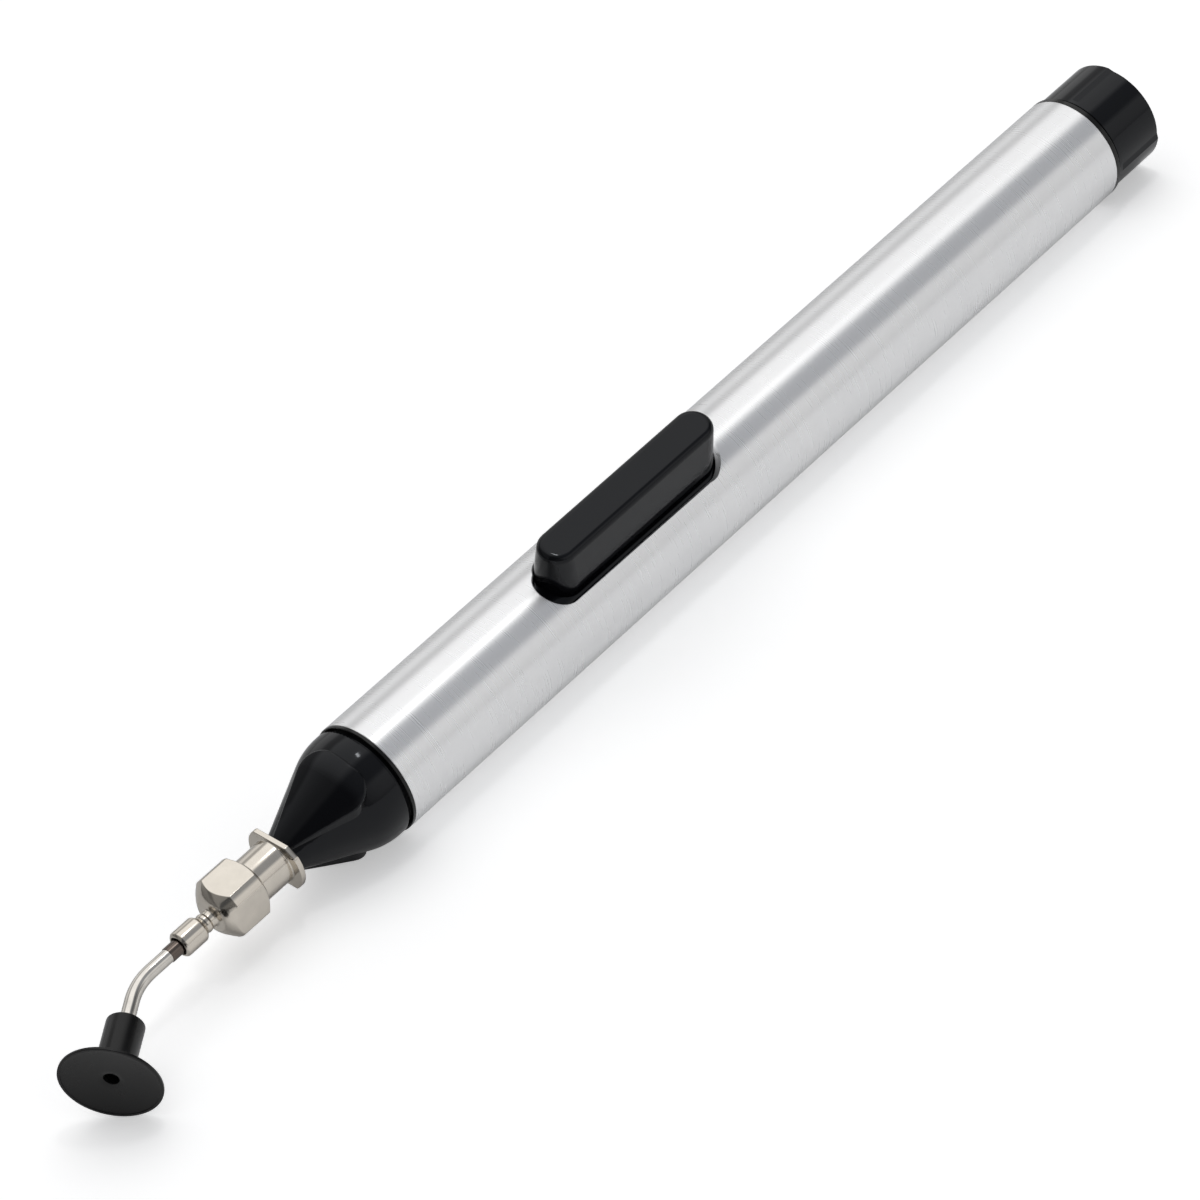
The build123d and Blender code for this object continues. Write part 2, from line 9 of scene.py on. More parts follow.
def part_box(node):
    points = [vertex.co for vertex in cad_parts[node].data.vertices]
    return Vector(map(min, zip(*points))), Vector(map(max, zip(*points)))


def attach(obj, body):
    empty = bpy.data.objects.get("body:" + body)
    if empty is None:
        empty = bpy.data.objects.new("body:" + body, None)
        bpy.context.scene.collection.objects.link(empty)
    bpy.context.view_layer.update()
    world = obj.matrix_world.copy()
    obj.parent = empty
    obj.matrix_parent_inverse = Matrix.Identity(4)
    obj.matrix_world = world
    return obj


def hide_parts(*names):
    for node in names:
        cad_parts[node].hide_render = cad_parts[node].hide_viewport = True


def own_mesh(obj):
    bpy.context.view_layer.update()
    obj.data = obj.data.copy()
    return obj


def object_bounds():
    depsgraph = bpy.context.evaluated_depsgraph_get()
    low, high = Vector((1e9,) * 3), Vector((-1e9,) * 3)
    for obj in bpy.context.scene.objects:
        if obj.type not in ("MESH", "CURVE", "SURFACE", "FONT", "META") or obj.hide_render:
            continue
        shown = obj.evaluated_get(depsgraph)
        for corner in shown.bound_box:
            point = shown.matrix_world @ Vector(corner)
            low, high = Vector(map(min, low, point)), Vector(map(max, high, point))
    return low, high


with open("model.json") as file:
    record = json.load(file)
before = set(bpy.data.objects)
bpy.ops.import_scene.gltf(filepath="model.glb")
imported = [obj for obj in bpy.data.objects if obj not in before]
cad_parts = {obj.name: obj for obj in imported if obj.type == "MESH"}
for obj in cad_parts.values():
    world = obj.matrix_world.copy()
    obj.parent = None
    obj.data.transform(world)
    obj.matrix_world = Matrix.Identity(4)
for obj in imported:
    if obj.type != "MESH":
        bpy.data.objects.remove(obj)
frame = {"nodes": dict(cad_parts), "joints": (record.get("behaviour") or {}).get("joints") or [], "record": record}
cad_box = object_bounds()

# A vacuum pick-up pen on a pale floor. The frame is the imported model's: X along the barrel, the tip at -X,
# the origin in the middle of the cap's flat end, Z up. Places and objects are in metres. The outlines of the
# meshes and the grain sizes of the finishes count in mm, and this value turns them into metres.
mm = 0.001

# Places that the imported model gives
joints = {joint["name"]: joint for joint in frame["joints"]}
mounts = {mount["name"]: mount for mount in frame["record"]["mounts"]}
slots = {part["node"]: part["material_slot"] for part in frame["record"]["subparts"]}
pen_axis = Vector((1, 0, 0))
pen_up = -Vector(joints["button_press"]["axis"])
barrel_low, barrel_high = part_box("barrel")
barrel_front = Vector((barrel_low.x, 0, 0))
barrel_length = barrel_high.x - barrel_low.x
barrel_radius = (barrel_high.z - barrel_low.z) / 2
hub_rear = Vector((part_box("luer_hub")[1].x, 0, 0))
needle_direction = Vector(mounts["cup_face"]["axis"])

# The needle's tube, in mm: how far in front of the hub's rear end its two runs would meet, and how far the
# cup's rim is from there
corner_from_hub = 21.7
cup_from_corner = 13.0
needle_corner = hub_rear - Vector((corner_from_hub, 0, 0)) * mm

# Camera: fitted to the barrel's outline in the photograph, for a square picture. Its clipping planes are
# shares of its distance.
camera_target = Vector((-99.316, -3.480, 0)) * mm
camera_distance = 536.571 * mm
camera_azimuth = -37.835
camera_elevation = 37.764
camera_roll = 16.431
camera_lens = 145.69
camera_sensor = 36.0
camera_clip_near = 0.01
camera_clip_far = 100

# The studio: how bright it is at each tilt, in degrees from straight up about the pen's axis. Positive tilts
# lean to the camera's side, where the room is dim and a little blue between the overhead box and a low wall.
plain = (1.0, 1.0, 1.0)
dim_blue = (0.955, 0.99, 1.055)
studio = [
    (-180, 0.30, plain),
    (-92, 0.30, plain),
    (-82, 0.80, plain),
    (-64, 1.00, plain),
    (-58, 0.55, plain),
    (-46, 0.55, plain),
    (-39, 1.31, plain),
    (7, 1.31, plain),
    (17, 0.43, dim_blue),
    (48, 0.40, dim_blue),
    (58, 0.95, plain),
    (82, 0.80, plain),
    (94, 0.45, plain),
    (180, 0.45, plain),
]

# The share of that brightness at each place along the pen, from the tip's side (-1) to the cap's side (1)
studio_ends = [
    (-1.0, 0.22),
    (-0.42, 0.28),
    (-0.18, 0.75),
    (0.0, 0.9),
    (0.25, 1.0),
    (0.62, 1.0),
    (0.85, 0.35),
    (1.0, 0.3),
]

# The floor: a pale sheet that the camera sees as white where nothing shades it. Polished pieces see it glow
# # bright on the camera's side, and the glow fades to a painted shade beyond the turn, under the pen where its
# # shadow lies. The turn is given by its two ends across the pen.
floor_size = 3.0
floor_glow = 0.405
floor_answer = 0.98
floor_color = 0.8
floor_glow_in_metal = 0.60
floor_glow_in_painted_shade = 0.0
painted_shade_turn = (-7 * mm, -1 * mm)

# A small bright lamp in the overhead box, for the glints on rounded edges
lamp_place = Vector((0.09, -0.05, 0.72))
lamp_length = 0.10
lamp_width = 0.05
lamp_power = 0.25


def make_camera():
    """The photograph's camera, turned about its line of sight by its roll."""
    data = bpy.data.cameras.new("camera")
    data.lens = camera_lens
    data.sensor_width = camera_sensor
    data.clip_start = camera_distance * camera_clip_near
    data.clip_end = camera_distance * camera_clip_far
    camera = bpy.data.objects.new("camera", data)
    bpy.context.scene.collection.objects.link(camera)
    azimuth = math.radians(camera_azimuth)
    elevation = math.radians(camera_elevation)
    back = Vector(
        (
            math.sin(azimuth) * math.cos(elevation),
            -math.cos(azimuth) * math.cos(elevation),
            math.sin(elevation),
        )
    )
    turn = (-back).to_track_quat("-Z", "Y").to_matrix().to_4x4()
    roll = Matrix.Rotation(math.radians(-camera_roll), 4, "Z")
    camera.matrix_world = Matrix.Translation(camera_target + back * camera_distance) @ turn @ roll
    bpy.context.scene.camera = camera


class Nodes:
    """Builds the nodes of one material or of the world."""

    def __init__(self, owner):
        self.owner = owner
        owner.use_nodes = True
        self.tree = owner.node_tree

    def add(self, kind, inputs=None, **settings):
        """Adds a node with its settings, and feeds its inputs."""
        node = self.tree.nodes.new(kind)
        for key, value in settings.items():
            setattr(node, key, value)
        for key, value in (inputs or {}).items():
            self.feed(node.inputs[key], value)
        return node

    def feed(self, socket, value):
        """Links another node's output to an input, or sets the input's own value."""
        if isinstance(value, bpy.types.NodeSocket):
            self.tree.links.new(value, socket)
        else:
            socket.default_value = value

    def math(self, operation, *values, clamp=False):
        """One sum, product or comparison of numbers or outputs."""
        inputs = dict(enumerate(values))
        return self.add("ShaderNodeMath", inputs, operation=operation, use_clamp=clamp).outputs[0]

    def spread(self, value, low, high, start=0.0, end=1.0):
        """Maps a value from start..end to low..high."""
        inputs = {"Value": value, "From Min": start, "From Max": end, "To Min": low, "To Max": high}
        return self.add("ShaderNodeMapRange", inputs).outputs["Result"]

    def ramp(self, value, stops):
        """Colours at places from 0 to 1, mixed in between."""
        node = self.add("ShaderNodeValToRGB", {"Fac": value})
        elements = node.color_ramp.elements
        while len(elements) < len(stops):
            elements.new(1.0)
        for element, (place, color) in zip(elements, stops):
            element.position = place
            element.color = color
        return node.outputs["Color"]

    def in_sight(self, path):
        """1 for a ray that the camera sends out, also behind glass, and 0 for one that lights something."""
        return self.math("ADD", path["Is Camera Ray"], path["Is Transmission Ray"], clamp=True)


class Finish(Nodes):
    """A material whose patterns lie in the object's own space, in metres."""

    def __init__(self, name, **constants):
        super().__init__(bpy.data.materials.new(name))
        self.shader = self.tree.nodes["Principled BSDF"]
        self.set(**constants)
        coordinates = self.add("ShaderNodeTexCoord")
        self.place = coordinates.outputs["Object"]

    def set(self, **inputs):
        """Feeds the shader's inputs, whose names have underscores here for their spaces."""
        for key, value in inputs.items():
            self.feed(self.shader.inputs[key.replace("_", " ")], value)

    def stretched(self, grain):
        """Coordinates that count one unit for each grain size, given in mm along X, Y and Z."""
        scale = [1 / (size * mm) for size in grain]
        return self.add("ShaderNodeMapping", {"Vector": self.place, "Scale": scale}).outputs[0]

    def noise(self, grain, detail=2.0, roughness=0.5):
        """Smooth noise from 0 to 1, of this grain size in mm along X, Y and Z."""
        vector = self.stretched(grain)
        inputs = {"Vector": vector, "Scale": 1.0, "Detail": detail, "Roughness": roughness}
        return self.add("ShaderNodeTexNoise", inputs).outputs["Fac"]

    def specks(self, spacing, size, share):
        """A mask of scattered round specks: mm apart, mm across, and the share of places that have one."""
        inputs = {"Vector": self.stretched((spacing,) * 3), "Scale": 1.0}
        cells = self.add("ShaderNodeTexVoronoi", inputs)
        near = self.spread(cells.outputs["Distance"], 1.0, 0.0, 0.0, size / spacing / 2)
        chosen = self.math("LESS_THAN", self.parts(cells.outputs["Color"])[0], share)
        return self.math("MULTIPLY", near, chosen, clamp=True)

    def parts(self, vector):
        """The three components of a vector."""
        split = self.add("ShaderNodeSeparateXYZ", {"Vector": vector})
        return split.outputs[0], split.outputs[1], split.outputs[2]

    def from_axis(self):
        """Distance from the pen's axis."""
        _, y, z = self.parts(self.place)
        squares = self.math("ADD", self.math("MULTIPLY", y, y), self.math("MULTIPLY", z, z))
        return self.math("SQRT", squares)

    def mix(self, share, first, second):
        """Mixes two colours. A Mix node has them in its inputs 6 and 7, and the result in its output 2."""
        node = self.add("ShaderNodeMix", data_type="RGBA")
        for index, value in ((0, share), (6, first), (7, second)):
            self.feed(node.inputs[index], value)
        return node.outputs[2]

    def bumps(self, *layers):
        """Adds bump layers, each a height from 0 to 1 and its depth in mm."""
        normal = None
        for height, depth in layers:
            inputs = {"Height": height, "Distance": depth * mm, "Strength": 1.0}
            if normal is not None:
                inputs["Normal"] = normal
            normal = self.add("ShaderNodeBump", inputs).outputs["Normal"]
        self.set(Normal=normal)

    def stretch_highlights(self, amount):
        """Highlights drawn out along the pen, as turning lines round it do."""
        along = self.add("ShaderNodeCombineXYZ", {"X": 1.0})
        self.set(Anisotropic=amount, Tangent=along.outputs[0])


def gray(level, tint=(1.0, 1.0, 1.0)):
    """A grey of this level with a tint, opaque."""
    return tuple(level * share for share in tint) + (1.0,)


def shaded(color, share=1.0):
    """A colour at a share of its brightness, opaque."""
    return tuple(channel * share for channel in color) + (1.0,)


def turned_aluminium(name):
    """Fine turning lines round the tube, faint handling scratches, and bare rough metal where it is cut."""
    line_grain = (0.2, 7, 7)
    band_grain = (7, 60, 60)
    cloud_grain = (9, 5, 5)
    scratch_grain = (2.6, 0.12, 0.5)
    dark = gray(0.84, (1, 1.005, 1.015))
    light = gray(0.90)
    band_tone = 0.5
    line_tone = 0.4
    full_tone = 0.6
    line_roughness = (0.23, 0.35)
    scratch_roughness = 0.12
    cut_roughness = 0.12
    line_depth = 0.0009
    scratch_depth = 0.004
    skin = 0.2 * mm
    metal = Finish(name, Metallic=0.66)
    lines = metal.noise(line_grain, detail=2)
    bands = metal.noise(band_grain, detail=2)
    clouds = metal.noise(cloud_grain, detail=3)
    scratches = metal.noise(scratch_grain, detail=1)
    sharp = metal.spread(scratches, 0, 1, start=0.74, end=0.80)
    handled = metal.spread(clouds, 0, 1, start=0.52, end=0.62)
    scratched = metal.math("MULTIPLY", sharp, handled)
    cut = metal.math("LESS_THAN", metal.from_axis(), barrel_radius - skin)
    banded = metal.spread(bands, -band_tone, band_tone)
    tone = metal.math("ADD", banded, metal.spread(lines, -line_tone, line_tone))
    share = metal.spread(tone, 0, 1, start=-full_tone, end=full_tone)
    metal.set(Base_Color=metal.mix(share, dark, light))
    lined = metal.spread(lines, *line_roughness)
    rough = metal.math("ADD", lined, metal.math("MULTIPLY", scratched, scratch_roughness))
    metal.set(Roughness=metal.math("ADD", rough, metal.math("MULTIPLY", cut, cut_roughness)))
    metal.bumps((lines, line_depth), (scratched, scratch_depth))
    metal.stretch_highlights(0.75)
    return metal.owner


def gloss_black(name):
    """A polished black moulding with slight unevenness and a few specks of dust."""
    wave_size = 6
    grain_size = 0.35
    black = gray(0.003, (0.95, 1, 1.3))
    dust_gray = gray(0.09)
    wave_roughness = (0.06, 0.10)
    grain_roughness = (0, 0.03)
    wave_depth = 0.012
    grain_depth = 0.0006
    moulding = Finish(name, IOR=1.32, Specular_Tint=(0.92, 0.95, 1.0, 1.0))
    waves = moulding.noise((wave_size,) * 3, detail=2)
    grain = moulding.noise((grain_size,) * 3, detail=2)
    dust = moulding.specks(spacing=1.7, size=0.10, share=0.10)
    moulding.set(Base_Color=moulding.mix(dust, black, dust_gray))
    waved = moulding.spread(waves, *wave_roughness)
    moulding.set(Roughness=moulding.math("ADD", waved, moulding.spread(grain, *grain_roughness)))
    moulding.bumps((waves, wave_depth), (grain, grain_depth))
    return moulding.owner


def matte_black(name):
    """A fine matte moulding, for the bushes, the plug and the cradle."""
    grain_size = 0.25
    dark = gray(0.003)
    light = gray(0.005)
    grain_roughness = (0.12, 0.18)
    grain_depth = 0.001
    moulding = Finish(name, IOR=1.36)
    grain = moulding.noise((grain_size,) * 3, detail=3)
    moulding.set(Base_Color=moulding.mix(grain, dark, light))
    moulding.set(Roughness=moulding.spread(grain, *grain_roughness))
    moulding.bumps((grain, grain_depth))
    return moulding.owner


def rubber(name, level, roughness, grain_size):
    """A soft matte rubber with a fine moulded grain, a faint bloom and a little dust."""
    bloom_size = 2.5
    grain_depth = 0.002
    unevenness = 0.06
    soft = Finish(name, IOR=1.34)
    grain = soft.noise((grain_size,) * 3, detail=3)
    bloom = soft.noise((bloom_size,) * 3, detail=3)
    dust = soft.specks(spacing=0.9, size=0.07, share=0.12)
    dark = gray(level * 0.85)
    light = gray(level * 1.2, (1, 1, 1.03))
    shade = soft.mix(soft.spread(bloom, 0, 1, start=0.3, end=0.7), dark, light)
    soft.set(Base_Color=soft.mix(dust, shade, gray(level * 3)))
    rough = soft.spread(bloom, roughness - unevenness, roughness + unevenness, start=0.3, end=0.7)
    soft.set(Roughness=rough)
    soft.bumps((grain, grain_depth))
    return soft.owner


def turned_metal(name, color, roughness):
    """Bare or plated metal with turning lines round the pen's axis."""
    line_grain = (0.1, 20, 20)
    stain_size = 1.6
    stain_shade = 0.93
    line_roughness = 0.03
    stain_roughness = 0.02
    line_depth = 0.0008
    metal = Finish(name, Metallic=1.0)
    lines = metal.noise(line_grain, detail=1)
    stains = metal.noise((stain_size,) * 3, detail=3)
    stained = metal.spread(stains, 0, 1, start=0.3, end=0.7)
    metal.set(Base_Color=metal.mix(stained, shaded(color, stain_shade), shaded(color)))
    lined = metal.spread(lines, -line_roughness, line_roughness)
    rough = metal.math("ADD", lined, metal.spread(stains, -stain_roughness, stain_roughness))
    metal.set(Roughness=metal.math("ADD", rough, roughness))
    metal.bumps((lines, line_depth))
    metal.stretch_highlights(0.4)
    return metal.owner


def drawn_steel(name, color, roughness):
    """A drawn tube: fine unevenness and faint stains."""
    grain_size = 0.5
    stain_size = 1.2
    stain_shade = 0.88
    grain_roughness = 0.02
    grain_depth = 0.0003
    metal = Finish(name, Metallic=1.0)
    grain = metal.noise((grain_size,) * 3, detail=2)
    stains = metal.noise((stain_size,) * 3, detail=3)
    stained = metal.spread(stains, 0, 1, start=0.35, end=0.65)
    metal.set(Base_Color=metal.mix(stained, shaded(color, stain_shade), shaded(color)))
    uneven = metal.spread(grain, -grain_roughness, grain_roughness)
    metal.set(Roughness=metal.math("ADD", uneven, roughness))
    metal.bumps((grain, grain_depth))
    return metal.owner


def rounded(outline, steps=5):
    """
    A closed outline with its corners rounded. Each of its points is (radius, height, how far the round
    reaches along both sides).
    """
    points = []
    for index, (x, y, reach) in enumerate(outline):
        corner = Vector((x, y))
        if reach == 0:
            points.append(corner)
            continue
        before = Vector(outline[index - 1][:2])
        after = Vector(outline[(index + 1) % len(outline)][:2])
        start = corner + (before - corner).normalized() * reach
        end = corner + (after - corner).normalized() * reach
        for step in range(steps + 1):
            share = step / steps
            left = 1 - share
            points.append(start * left**2 + corner * 2 * share * left + end * share**2)
    return points


def join_rings(bm, ring, following):
    """A closed band of faces between two rings with as many points."""
    count = len(ring)
    for index in range(count):
        after = (index + 1) % count
        bm.faces.new((ring[index], ring[after], following[after], following[index]))


def lathe(profile, origin, axis, segments, towards, seam=0.0):
    """
    A turned mesh from a closed loop of (radius, height, takes the seam) in mm. Its first segment points
    towards a direction, where one of two opposite mould seams is raised.
    """
    seam_width = math.radians(2.2)
    bm = bmesh.new()
    towards = (towards - axis * towards.dot(axis)).normalized()
    across = axis.cross(towards)
    rings = []
    for turn in range(segments):
        angle = 2 * math.pi * turn / segments
        off_seam = abs((angle + math.pi / 2) % math.pi - math.pi / 2)
        raised = seam * math.exp(-((off_seam / seam_width) ** 2))
        outward = towards * math.cos(angle) + across * math.sin(angle)
        ring = []
        for radius, height, takes_seam in profile:
            reach = radius + (raised if takes_seam else 0)
            ring.append(bm.verts.new(origin + (outward * reach + axis * height) * mm))
        rings.append(ring)
    for turn in range(segments):
        join_rings(bm, rings[turn], rings[(turn + 1) % segments])
    bmesh.ops.recalc_face_normals(bm, faces=bm.faces)
    return bm


def smooth(mesh, sharp_angle):
    """Shades a mesh as smooth, except along edges sharper than an angle in degrees."""
    mesh.polygons.foreach_set("use_smooth", [True] * len(mesh.polygons))
    mesh.set_sharp_from_angle(angle=math.radians(sharp_angle))


def as_piece(bm, name, sharp_angle):
    """A named object from a built mesh."""
    mesh = bpy.data.meshes.new(name)
    bm.to_mesh(mesh)
    bm.free()
    smooth(mesh, sharp_angle)
    piece = bpy.data.objects.new(name, mesh)
    bpy.context.scene.collection.objects.link(piece)
    return piece


def dress(piece, material, body, node):
    """Lets a piece stand for a node of the model, with its finish."""
    piece.data.materials.clear()
    piece.data.materials.append(material)
    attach(piece, body)
    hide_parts(node)


def apply_modifiers(piece):
    """Bakes a piece's modifiers into its mesh."""
    evaluated = piece.evaluated_get(bpy.context.evaluated_depsgraph_get())
    piece.data = bpy.data.meshes.new_from_object(evaluated)
    piece.modifiers.clear()


def slot_path():
    """
    The slot's lower edge: points in mm, behind the barrel's front rim and across to the near side, each with
    its outward direction. The front round lies off the middle, and the far side has an arc of its own.
    """
    front = Vector((29.88, 0.85))
    front_radius = 2.80
    far_front = Vector((31.2, 0.0))
    far_radius = 3.0
    rear = Vector((52.5, 0.0))
    rear_radius = 3.46
    path = []

    def arc(center, radius, start, end, steps):
        """Adds the points of an arc between two angles, in degrees from the rear towards the near side."""
        for step in range(steps + 1):
            angle = math.radians(start + (end - start) * step / steps)
            outward = Vector((math.cos(angle), math.sin(angle)))
            path.append((center + outward * radius, outward))

    arc(front, front_radius, 90, 244, steps=44)
    arc(far_front, far_radius, 219, 270, steps=14)
    arc(rear, rear_radius, -90, 90, steps=52)
    return path


def slot_cutter():
    """
    The tool that cuts the slot: upright walls under a narrow sloped lip, which widens at the slot's rear end
    into a shallow ramp. Its sizes are in mm and degrees, and its heights are above the pen's axis.
    """
    lip = 0.12
    rear_ramp = 0.58
    widening_start = 51.0
    widening_length = 2.5
    lip_slope = 38
    rear_slope = 12
    slope_fade = 3
    bottom = 3.4
    top = 9.5
    near = pen_axis.cross(pen_up)
    bm = bmesh.new()
    rings = [[] for _ in range(5)]

    def surface(across):
        """The height of the barrel's outside at a distance across from the slot's middle line."""
        return math.sqrt((barrel_radius / mm) ** 2 - across**2)

    def place(flat, height):
        """The point over a place on the slot's path, at a height."""
        return barrel_front + (pen_axis * flat.x + near * flat.y + pen_up * height) * mm

    for flat, outward in slot_path():
        at_rear = min(1.0, max(0.0, (flat.x - widening_start) / widening_length))
        ramp = lip + (rear_ramp - lip) * at_rear
        slope = lip_slope - (lip_slope - rear_slope) * max(0.0, outward.x) ** slope_fade
        drop = ramp * math.tan(math.radians(slope))
        edge = flat + outward * ramp
        beyond = edge + outward * ramp * 2
        levels = (
            (flat, bottom),
            (flat, surface(edge.y) - drop),
            (edge, surface(edge.y)),
            (beyond, surface(edge.y) + drop * 2),
            (beyond, top),
        )
        for ring, (point, height) in zip(rings, levels):
            ring.append(bm.verts.new(place(point, height)))
    for lower, upper in zip(rings, rings[1:]):
        join_rings(bm, lower, upper)
    bm.faces.new(rings[0])
    bm.faces.new(rings[-1])
    bmesh.ops.recalc_face_normals(bm, faces=bm.faces)
    return as_piece(bm, "slot_cutter", sharp_angle=30)


def shade_as_cylinder(mesh):
    """Gives the faces of a tube about the pen's axis the normals of a true cylinder, outside and inside."""
    round_enough = 0.9995
    normals = [Vector(corner.vector) for corner in mesh.corner_normals]
    for polygon in mesh.polygons:
        radial = Vector((0, *polygon.center.yz)).normalized()
        facing = polygon.normal.dot(radial)
        if abs(facing) < round_enough:
            continue
        for loop in polygon.loop_indices:
            point = mesh.vertices[mesh.loops[loop].vertex_index].co
            normals[loop] = Vector((0, *point.yz)).normalized() * math.copysign(1, facing)
    mesh.normals_split_custom_set(normals)


def slotted_barrel(material):
    """The barrel with its edges broken and the slot's rear end ramped, shaded as a true cylinder."""
    wall = 0.9
    outer_break = 0.17
    inner_break = 0.1
    sharp_angle = 30
    outer = barrel_radius / mm
    inner = outer - wall
    length = barrel_length / mm
    outline = [
        (inner, 0, inner_break),
        (outer, 0, outer_break),
        (outer, length, outer_break),
        (inner, length, inner_break),
    ]
    profile = [(x, y, False) for x, y in rounded(outline)]
    tube = lathe(profile, barrel_front, pen_axis, segments=360, towards=pen_up)
    piece = as_piece(tube, "slotted_barrel", sharp_angle)
    cutter = slot_cutter()
    cut = piece.modifiers.new("slot", "BOOLEAN")
    cut.operation = "DIFFERENCE"
    cut.solver = "EXACT"
    cut.object = cutter
    apply_modifiers(piece)
    bpy.data.objects.remove(cutter)
    smooth(piece.data, sharp_angle)
    shade_as_cylinder(piece.data)
    dress(piece, material, "barrel", "barrel")


def cut_flat(bm, origin, axis, side, distance, low, high):
    """Takes off what lies beyond a plane, between two heights of a turned mesh, and closes the cut."""
    faces = []
    for face in bm.faces:
        heights = [(vert.co - origin).dot(axis) / mm for vert in face.verts]
        if min(heights) > low and max(heights) < high:
            faces.append(face)
    around = dict.fromkeys(edge for face in faces for edge in face.edges)
    corners = dict.fromkeys(vert for face in faces for vert in face.verts)
    cut = bmesh.ops.bisect_plane(
        bm,
        geom=[*corners, *around, *faces],
        dist=1e-8,
        plane_co=origin + side * distance * mm,
        plane_no=side,
        clear_outer=True,
    )
    rim = [part for part in cut["geom_cut"] if isinstance(part, bmesh.types.BMEdge)]
    bmesh.ops.contextual_create(bm, geom=rim)


def hub_outline():
    """
    The hub's half section: (radius, distance from its rear end, how far the corner's round reaches), in mm.
    From the rear: the lugs' flange, the waist, the body with its cone, the neck with its bead, and the collar
    with its mouth. Back through the hub go the holes for the sleeve and the tube, and the taper.
    """
    taper_mouth = 2.231
    taper_depth = 7.4
    taper_slope = 0.03
    flange = 3.9
    flange_end = 0.65
    waist = 2.7
    waist_end = 4.6
    body = 3.75
    body_start = 5.15
    body_end = 9.0
    cone = 2.45
    cone_end = 10.2
    face = 1.9
    face_end = 10.45
    neck = 1.0
    neck_flare = 1.05
    neck_start = 11.15
    bead = 1.12
    bead_start = 11.35
    bead_end = 11.7
    bead_foot = 11.88
    collar = 1.54
    collar_foot = 1.04
    collar_foot_start = 11.95
    collar_start = 12.45
    collar_end = 15.4
    collar_bevel = 0.25
    mouth = 1.13
    mouth_end = 14.4
    sleeve_hole = 0.915
    sleeve_end = 13.79
    tube_hole = 0.835
    return [
        (taper_mouth, 0, 0.1),
        (flange, 0, 0.1),
        (flange, flange_end, 0.1),
        (waist, flange_end, 0.2),
        (waist, waist_end, 0.08),
        (body, body_start, 0.1),
        (body, body_end, 0.12),
        (cone, cone_end, 0.5),
        (face, face_end, 0.25),
        (neck_flare, face_end, 0.3),
        (neck, neck_start, 0.05),
        (bead, bead_start, 0.1),
        (bead, bead_end, 0.1),
        (neck, bead_foot, 0.04),
        (collar_foot, collar_foot_start, 0.03),
        (collar, collar_start, 0.15),
        (collar, collar_end - collar_bevel, 0.12),
        (collar - collar_bevel, collar_end, 0.08),
        (mouth, collar_end, 0.05),
        (mouth, mouth_end, 0),
        (sleeve_hole, mouth_end, 0),
        (sleeve_hole, sleeve_end, 0),
        (tube_hole, sleeve_end, 0),
        (tube_hole, taper_depth, 0),
        (taper_mouth - taper_slope * taper_depth, taper_depth, 0),
    ]


def needle_hub(material):
    """The hub: a turned body milled square, its front turned off in a cone, with lugs and a collar."""
    turn = -13.5
    body_flat = 3.1
    body_span = (4.3, 10.6)
    lug_flat = 2.95
    lug_ramp = 3.62
    lug_ramp_angle = 38
    lug_span = (-0.1, 0.66)
    most_corners = 20
    edge_break = 0.09 * mm
    axis = -pen_axis
    side = Matrix.Rotation(math.radians(turn), 3, "X") @ pen_up
    profile = [(x, y, False) for x, y in rounded(hub_outline())]
    bm = lathe(profile, hub_rear, axis, segments=240, towards=side)
    for quarter in range(4):
        facing = Matrix.Rotation(math.pi / 2 * quarter, 3, "X") @ side
        cut_flat(bm, hub_rear, axis, facing, body_flat, *body_span)
    for half in range(2):
        facing = Matrix.Rotation(math.pi * half, 3, "X") @ side
        cut_flat(bm, hub_rear, axis, facing, lug_flat, *lug_span)
        sloped = Matrix.Rotation(math.radians(lug_ramp_angle), 3, "X") @ facing
        cut_flat(bm, hub_rear, axis, sloped, lug_ramp, *lug_span)
    milled_faces = [face for face in bm.faces if len(face.verts) > most_corners]
    milled_edges = [edge for edge in bm.edges if any(face in milled_faces for face in edge.link_faces)]
    bmesh.ops.bevel(bm, geom=milled_edges, offset=edge_break, segments=2, affect="EDGES", profile=0.5)
    bmesh.ops.recalc_face_normals(bm, faces=bm.faces)
    piece = as_piece(bm, "needle_hub", sharp_angle=60)
    piece.modifiers.new("even", "WEIGHTED_NORMAL").keep_sharp = True
    apply_modifiers(piece)
    dress(piece, material, "needle", "luer_hub")


